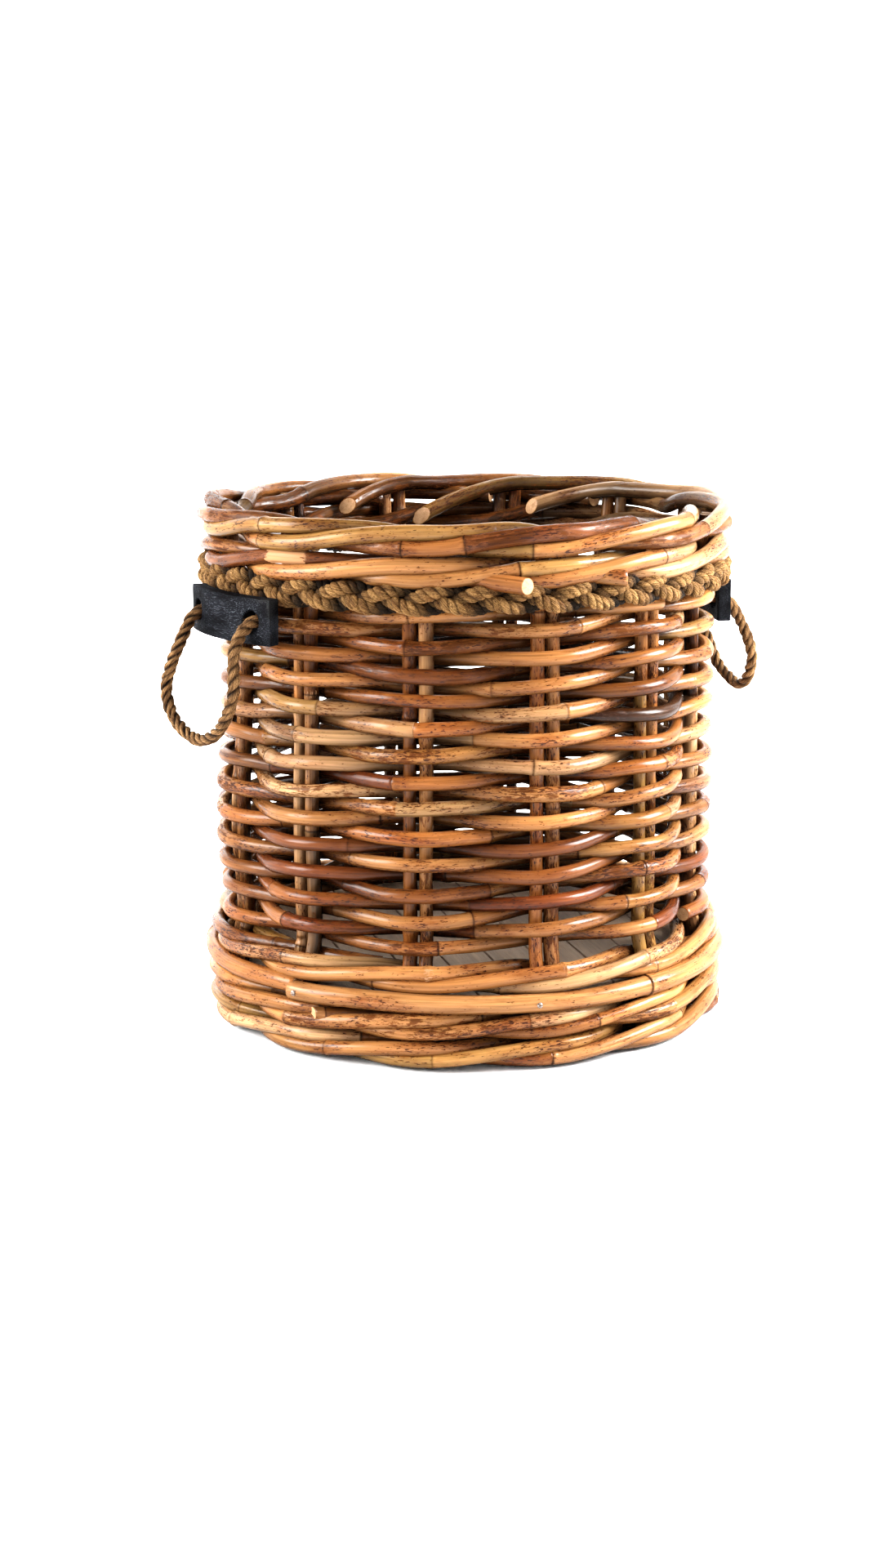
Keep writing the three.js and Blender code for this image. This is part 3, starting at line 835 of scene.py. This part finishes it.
def add_weavers():
    for series, (first_deg, rise, turns) in WEAVERS.items():
        start = first_deg
        for index, turn in enumerate(turns):
            # The first cane comes out from between the pairs, where the shoulder covers its end.
            begin = start if index else start - FIRST_REACH_DEG
            deg = np.arange(begin, start + turn + ANGLE_STEP / 2, ANGLE_STEP)
            seed = 2000 + 10 * index + (series == "b")
            rng = np.random.default_rng(seed)
            crossing = np.abs((deg - start + PAIR_STEP_DEG) % (2 * PAIR_STEP_DEG) - PAIR_STEP_DEG)
            # 1 where the cane is in front of a pair and -1 behind one, flat while it passes it.
            side = (PAIR_STEP_DEG - crossing - PASS_HALF_DEG) / (PAIR_STEP_DEG - 2 * PASS_HALF_DEG)
            side = smoothed(2 * np.clip(side, 0, 1) - 1, WEAVE_SMOOTHING_DEG)
            z = WEAVE_BASE_Z + rise + 2 * WEAVE_PITCH * deg / 360
            radius = wall_radius(z) + WEAVE_OFFSET * side + wander(rng, deg, 70, 0.0003)
            z = z + settle(deg, z) + wander(rng, deg, 95, 0.0011)
            line = ring_points(deg, radius, z)
            diameter = rng.uniform(*WEAVER_DIAMETERS)
            cane = Cane(seed, lengths_along(line)[-1], diameter, WEAVER_WEIGHTS, WEAVER_BARK)
            add_cane(f"weaver_{series}{index + 1}", "weaver", (cane, line, painted_back_shade(side)))
            start += turn


# How gently a waling rod turns in or out, and rises or falls.
SIDE_SMOOTHING_DEG, RISE_SMOOTHING_DEG = 3.5, 5.0


def wale_line(courses, rise, first_pair, rng, sway):
    """The route of one rod of a three-rod wale, as angle, radius, height and side of the stakes."""
    corners = []
    for course, course_z in enumerate(courses):
        for step in range(PAIR_COUNT + 1):
            deg = pair_deg(first_pair + step) + 360 * course
            side = 1 if step % 3 else -1
            arrive = course_z + (-rise if step % 3 == 1 else rise)
            leave = course_z + (rise if step % 3 == 2 else -rise)
            if step > 0:
                corners.append((deg - PASS_HALF_DEG, side, arrive, course_z))
            if step < PAIR_COUNT:
                corners.append((deg + PASS_HALF_DEG, side, leave, course_z))
    corners = np.array(corners)
    deg = np.arange(corners[0, 0], corners[-1, 0], ANGLE_STEP)
    side = smoothed(np.interp(deg, corners[:, 0], corners[:, 1]), SIDE_SMOOTHING_DEG)
    z = smoothed(np.interp(deg, corners[:, 0], corners[:, 2]), RISE_SMOOTHING_DEG)
    wall = wall_radius(np.interp(deg, corners[:, 0], corners[:, 3]))
    radius = wall + WALE_OFFSET * side + wander(rng, deg, 80, sway / 2)
    return deg, radius, z + wander(rng, deg, 110, sway), side


def with_tail(route, tail):
    """Carries a rod on past its end, to a cut end at (angle, radius, height)."""
    deg = route[0]
    end_deg, end_radius, end_z, radius_power, z_power = tail
    extra = np.arange(deg[-1] + ANGLE_STEP, end_deg, ANGLE_STEP)
    t = (extra - deg[-1]) / (end_deg - deg[-1])
    ends = ((end_deg, 1), (end_radius, radius_power), (end_z, z_power), (1, 1))
    return [np.concatenate([values, values[-1] + (end - values[-1]) * t**power])
            for values, (end, power) in zip(route, ends)]


# Where each rim rod's far end comes out: degrees past its first pair, radius, height, and how late it
# turns to that radius and height. Then the way its cut face looks: outward, round the rim, and up.
RIM_LOWER_TAILS = [
    ((23.3, 0.2725, 0.4585, 1.4, 0.7), (0.8, 0.6, 0)),
    ((15.4, 0.2665, 0.4605, 1.0, 0.6), (0.5, 0.86, 0)),
    ((19, 0.224, 0.462, 2, 2), None),
]
RIM_UPPER_TAILS = [
    ((21.8, 0.213, 0.481, 2.2, 1.5), (-0.8, 0.55, 0.1)),
    ((23.7, 0.213, 0.47, 2.2, 1.5), (-0.8, 0.55, 0.1)),
    ((16.9, 0.213, 0.484, 2, 1.5), (-0.75, 0.6, 0.1)),
]
INNER_TAIL = (20, 0.2165, 0.004, 2.2, 2.2)

# The rim rods' colours by the angle where each begins, with how much bark that length keeps.
RIM_COATS = {
    "rim_upper_rod_1": [(24, GOLDEN, 0.5), (110, BROWN, 0.9), (228.5, ORANGE, 0.1), (241, RED_BROWN, 1.15),
                        (283, BROWN, 0.5), (320, PALE, 0.1)],
    "rim_upper_rod_2": [(54, ORANGE, 0.6), (140, OLIVE, 0.2), (195, OLIVE, 0.3), (255, GOLDEN, 0.15),
                        (296, PALE, 0.1), (372, OLIVE, 0.6)],
    "rim_upper_rod_3": [(84, BROWN, 0.9), (160, GOLDEN, 0.2), (193.6, OLIVE, 0.25), (268, BROWN, 1.0),
                        (302, PALE, 0.05), (395, BROWN, 0.7)],
    "rim_lower_rod_1": [(234, GOLDEN, 0.1), (287, PALE, 0.1), (400, BROWN, 0.9), (500, RED_BROWN, 0.6),
                        (586, ORANGE, 0.1)],
    "rim_lower_rod_2": [(264, PALE, 0.2), (350, BROWN, 0.8), (520, GOLDEN, 0.3)],
    "rim_lower_rod_3": [(294, PALE, 0.1), (420, BROWN, 0.8), (560, GOLDEN, 0.25), (612, OLIVE, 0.4)],
}
# A bare patch where the skin has come off: the rod, its middle's angle, and its half length in degrees.
PEELED = ("rim_lower_rod_1", 561, 4.6)
ROD_DIAMETER_SHARES = (0.97, 1.03)


def add_wales():
    # Name, slot, courses, rise, first pair, tails, colours, diameter, and how far the rods sway.
    wales = (
        ("foot_rod", "foot", FOOT_COURSE_Z, FOOT_RISE, 1, None, FOOT_WEIGHTS, 0.0139, 0.0006),
        ("shoulder_rod", "foot", SHOULDER_COURSE_Z, FOOT_RISE, 4, None, FOOT_WEIGHTS, 0.0142, 0.0007),
        ("rim_lower_rod", "rim", RIM_LOWER_Z, RIM_RISE, 7, RIM_LOWER_TAILS, RIM_WEIGHTS, 0.0153, 0.0011),
        ("rim_upper_rod", "rim", RIM_UPPER_Z, RIM_RISE, 0, RIM_UPPER_TAILS, RIM_WEIGHTS, 0.0155, 0.0012),
    )
    for family, (name, slot, courses, rise, first, tails, weights, diameter, sway) in enumerate(wales):
        for rod in range(3):
            node = f"{name}_{rod + 1}"
            seed = 3000 + 10 * family + rod
            rng = np.random.default_rng(seed)
            route = wale_line(courses, rise, first + rod, rng, sway)
            if tails:
                (past, *rest), face = tails[rod]
            else:
                (past, *rest), face = INNER_TAIL, None
                rest[1] += courses[-1]
            last = pair_deg(first + rod) + 360 * len(courses)
            deg, radius, z, side = with_tail(route, (last + past, *rest))
            line = ring_points(deg, radius, z)
            along = lengths_along(line)
            cane = Cane(seed, along[-1], diameter * rng.uniform(*ROD_DIAMETER_SHARES), weights)
            if node in RIM_COATS:
                cane.paint(deg, along, RIM_COATS[node])
            if node == PEELED[0]:
                cane.peel = np.interp([PEELED[1] - PEELED[2], PEELED[1] + PEELED[2]], deg, along)
            if face:
                face = face @ side_axes(deg[-1])
            laid = [(cane, line, painted_back_shade(side), face)]
            if node == FOOT_JOIN[0]:
                laid.append(foot_join(deg, radius, z, seed + 500, diameter))
            add_cane(node, slot, *laid)


# A fresh foot rod is laid in front of the old one: the rod, the angle of its cut end, and how many
# degrees on it goes in behind the stakes.
FOOT_JOIN = ("foot_rod_1", 567, 29)
# How far its end stands out and hangs down, how near its node is, how thin it is, its cut face's way.
FOOT_JOIN_OUT, FOOT_JOIN_DROP, FOOT_JOIN_NODE, FOOT_JOIN_SHARE = 0.0085, 0.003, 0.012, 0.97
FOOT_JOIN_FACE = (0.857, -0.515, 0)


def foot_join(deg, radius, z, seed, diameter):
    _, first, reach = FOOT_JOIN
    beside = (deg >= first) & (deg <= first + reach)
    t = (deg[beside] - first) / reach
    out = radius[beside] + FOOT_JOIN_OUT * (1 - eased(1.5 * t))
    line = ring_points(deg[beside], out, z[beside] - FOOT_JOIN_DROP * (1 - t))[::-1]
    along = lengths_along(line)[-1]
    nodes = [along - FOOT_JOIN_NODE]
    cane = Cane(seed, along, diameter * FOOT_JOIN_SHARE, FOOT_WEIGHTS, 0.1, nodes=nodes)
    return cane, line, None, FOOT_JOIN_FACE @ side_axes(first)


HOOP_DIAMETER = 0.0192
HOOP_LAP_DEG = 26
HOOP_LAP = 0.0022       # how far the near end stands out, and the far end in and up, where they meet
HOOP_RISE = 0.0012      # how much higher the hoop is than at its near end
NAIL_DEGS = [16.5, 76.5, 136.5, 203.1, 256.5, 316.5]
NAIL_RADIUS = 0.0028
# A nail head's outline: the share of its radius, and how far out of the hoop.
NAIL_PROFILE = [(0.9, -0.0014), (1.0, -0.0004), (0.97, 0.0002), (0.8, 0.0006), (0.45, 0.0009), (0.04, 0.001)]
HOOP_TAN = (0.35, 0.165, 0.06)
# The hoop's colours by the angle where each begins, with how much bark that length keeps.
HOOP_COATS = [(HOOP_FIRST_DEG, HOOP_TAN, 0.0), (-76, GOLDEN, 0.1), (-2, PALE, 0.15), (74, GOLDEN, 0.3),
              (150, ORANGE, 0.25)]


def add_hoop():
    deg = np.arange(HOOP_FIRST_DEG, HOOP_FIRST_DEG + 360.6, ANGLE_STEP)
    rng = np.random.default_rng(41)
    lap = eased((deg - (HOOP_FIRST_DEG + 360 - HOOP_LAP_DEG)) / HOOP_LAP_DEG)
    begin = 1 - eased((deg - HOOP_FIRST_DEG) / HOOP_LAP_DEG)
    radius = HOOP_RADIUS + HOOP_LAP * (begin - lap) + wander(rng, deg, 90, 0.0003)
    z = HOOP_Z + HOOP_RISE * (1 - begin) + HOOP_LAP * lap + wander(rng, deg, 120, 0.0007)
    line = ring_points(deg, radius, z)
    along = lengths_along(line)
    cane = Cane(4005, along[-1], HOOP_DIAMETER, FOOT_WEIGHTS, gap=(0.2, 0.36))
    cane.paint(deg, along, HOOP_COATS)
    add_cane("nailed_hoop", "hoop", (cane, line))
    return deg, radius, z


def add_nails(hoop):
    """Domed nail heads near every second stake pair, one of them in the hoop's own near end."""
    surface = Surface()
    deg, radius, z = hoop
    shares, depths = np.array(NAIL_PROFILE).T
    for at in NAIL_DEGS:
        at = (at - HOOP_FIRST_DEG) % 360 + HOOP_FIRST_DEG
        out = side_axes(at)[0]
        face = np.interp(at, deg, radius) + HOOP_DIAMETER / 2
        line = out * (face + depths[:, None]) + (0, 0, np.interp(at, deg, z))
        surface.tube(line, shares * NAIL_RADIUS, 16, (0, 0, 1), (1, 1, 1), caps=False)
    nails = surface.build("hoop_nails", [NAIL])
    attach(nails, "basket")


BAND_RADIUS = 0.2525
BAND_Z = 0.4452
BAND_PERIODS = 12
BAND_WAVE_Z = 0.0086
BAND_WAVE_RADIUS = 0.005
BAND_HAIRS = 1100
BAND_SHADE = 0.06       # painted shade: how light a strand is painted where it is furthest in


def band_painted_shade(line):
    """Painted shade: the plait is painted darker where a strand dives behind the others."""
    out = (np.hypot(line[:, 0], line[:, 1]) - BAND_RADIUS) / BAND_WAVE_RADIUS
    return BAND_SHADE + (1 - BAND_SHADE) * eased((out + 0.6) / 1.6)


def add_rope_band():
    """A three-strand plait of twisted ropes, lashed round the stakes under the rim."""
    surface = Surface()
    rng = np.random.default_rng(51)
    deg = np.arange(0, 361, 1.0)
    sag = wander(rng, deg, 360 / 5, 0.0008)
    sag[-1] = sag[0]
    for strand in range(3):
        phase = np.radians(deg) * BAND_PERIODS + 2 * np.pi * strand / 3
        z = BAND_Z + BAND_WAVE_Z * np.sin(phase) + sag
        radius = BAND_RADIUS + BAND_WAVE_RADIUS * np.sin(2 * phase)
        strand_line = ring_points(deg, radius, z)
        twisted_rope(surface, strand_line, BAND_LAY, rng, BAND_HAIRS, outward, band_painted_shade)
    band = surface.build("plaited_band", [BAND_ROPE, BAND_ROPE])
    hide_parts("braided_rope_band")
    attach(band, "basket")


# ---- boards and plates ----

SLAT_COUNT = 10
BOARD_EDGE = 0.0012
WELD_DISTANCE = 1e-5


def dress_floor():
    for index in range(SLAT_COUNT):
        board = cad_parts[f"floor_slat_{index + 1}"]
        board.modifiers.new("weld", "WELD").merge_threshold = WELD_DISTANCE
        bevel = board.modifiers.new("bevel", "BEVEL")
        bevel.width, bevel.segments, bevel.limit_method = BOARD_EDGE, 2, "ANGLE"
        for place in board.material_slots:
            place.material = SLAT


PLATE_VOXEL = 0.0011
PLATE_SMOOTHING = 7
# How far a plate's lighter marks reach in from its edges and from one top corner, and how strong each is:
# rubbed wear, with a painted sheen along the top edge and at that corner.
EDGE_REACH, EDGE_WEAR_AND_SHEEN = 0.012, 0.55
CORNER_REACH, CORNER_WEAR_AND_SHEEN = 0.03, 0.4


def add_plate(side):
    """The plain plate with hand-rounded edges, and its wear and painted sheen marked from the edges and a
    corner.
    """
    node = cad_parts[f"handle_plate_{side}"]
    plate = linked(f"plate_{side}", node.data.copy())
    remesh = plate.modifiers.new("remesh", "REMESH")
    remesh.mode, remesh.voxel_size = "VOXEL", PLATE_VOXEL
    smooth = plate.modifiers.new("smooth", "SMOOTH")
    smooth.factor, smooth.iterations = 0.5, PLATE_SMOOTHING
    shaped = bpy.data.meshes.new_from_object(plate.evaluated_get(bpy.context.evaluated_depsgraph_get()))
    plate.modifiers.clear()
    plate.data = shaped
    shaped.materials.clear()
    shaped.materials.append(PLATE)
    shaped.shade_smooth()
    deg, z = HANDLES[side]
    centred = np.array([vertex.co for vertex in shaped.vertices]) - (0, 0, z)
    out, along, up = side_axes(deg) @ centred.T
    store(shaped, "Along", np.stack([along, up, out], axis=1))
    half_length, half_height = np.abs(along).max(), np.abs(up).max()
    near_end = 1 - (half_length - np.abs(along)) / EDGE_REACH
    near_top = 1 - (half_height - up) / EDGE_REACH
    wear_and_sheen = EDGE_WEAR_AND_SHEEN * np.clip(np.maximum(near_end, near_top), 0, 1) ** 1.5
    wear_and_sheen += CORNER_WEAR_AND_SHEEN * np.clip(1 - np.hypot(along - half_length, up - half_height) / CORNER_REACH, 0, 1)
    store(shaped, "Marks", np.stack([wear_and_sheen, 0 * wear_and_sheen, 0 * wear_and_sheen], axis=1))
    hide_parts(node.name)
    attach(plate, "basket")


add_stakes()
add_weavers()
add_wales()
add_nails(add_hoop())
add_rope_band()
dress_floor()
add_plate("left")
add_plate("right")

# ---- stage and light ----

BOWL_PROFILE = [(0, 0), (2.6, 0), (3.3, 0.09), (3.85, 0.4), (4.2, 0.95), (4.3, 1.7), (4.3, 4.6)]
BOWL_STEPS = 72
FLOOR_DROP = 0.0002
WORLD_STRENGTH = 0.14


def add_stage():
    """A pale studio bowl: a level floor that curves up into a wall all round, open to a pale sky."""
    profile = through([(radius, 0, z) for radius, z in BOWL_PROFILE], 6)
    angles = np.arange(BOWL_STEPS) * 2 * np.pi / BOWL_STEPS
    points = [(r * math.cos(a), r * math.sin(a), z - FLOOR_DROP) for r, _, z in profile[1:] for a in angles]
    faces = [tuple(range(BOWL_STEPS))]
    for ring in range(len(profile) - 2):
        for side in range(BOWL_STEPS):
            beside = (side + 1) % BOWL_STEPS
            near, far = ring * BOWL_STEPS, (ring + 1) * BOWL_STEPS
            faces.append((near + side, far + side, far + beside, near + beside))
    mesh = bpy.data.meshes.new("studio_bowl")
    mesh.from_pydata(points, [], faces)
    mesh.shade_smooth()
    tree = Tree("studio_white")
    tree.set(Base_Color=rgb(0.9, 0.9, 0.9), Roughness=0.9, Specular_IOR_Level=0.0)
    mesh.materials.append(tree.material)
    linked("studio_bowl", mesh)
    world = bpy.data.worlds.new("studio")
    world.use_nodes = True
    background = world.node_tree.nodes["Background"]
    background.inputs["Color"].default_value = rgb(1, 1, 1)
    background.inputs["Strength"].default_value = WORLD_STRENGTH
    bpy.context.scene.world = world


def add_softbox(name, right_deg, height, distance, size, power, aim=None):
    """A square light at an angle to the right of the camera's own.

    It faces the basket, or the point at the distance and height in aim, on its own side.
    """
    axes = side_axes(CAMERA_DEG + right_deg)
    light = bpy.data.lights.new(name, "AREA")
    light.shape, light.size, light.energy = "SQUARE", size, power
    lamp = linked(name, light)
    lamp.location = (distance, 0, height) @ axes
    target = Vector((aim[0], 0, aim[1]) @ axes) if aim else CAMERA_AIM
    lamp.rotation_euler = (target - lamp.location).to_track_quat("-Z", "Y").to_euler()


add_stage()
add_softbox("key", 86, 1.25, 1.9, 1.0, 178)
add_softbox("fill", -74, 1.15, 2.2, 1.3, 108)
add_softbox("top", 10, 2.6, 0.9, 0.5, 4)
add_softbox("backdrop", 180, 2.4, 1.3, 1.6, 320, aim=(4.1, 0.5))
view = bpy.context.scene.view_settings
view.view_transform, view.look = "Standard", "Medium High Contrast"
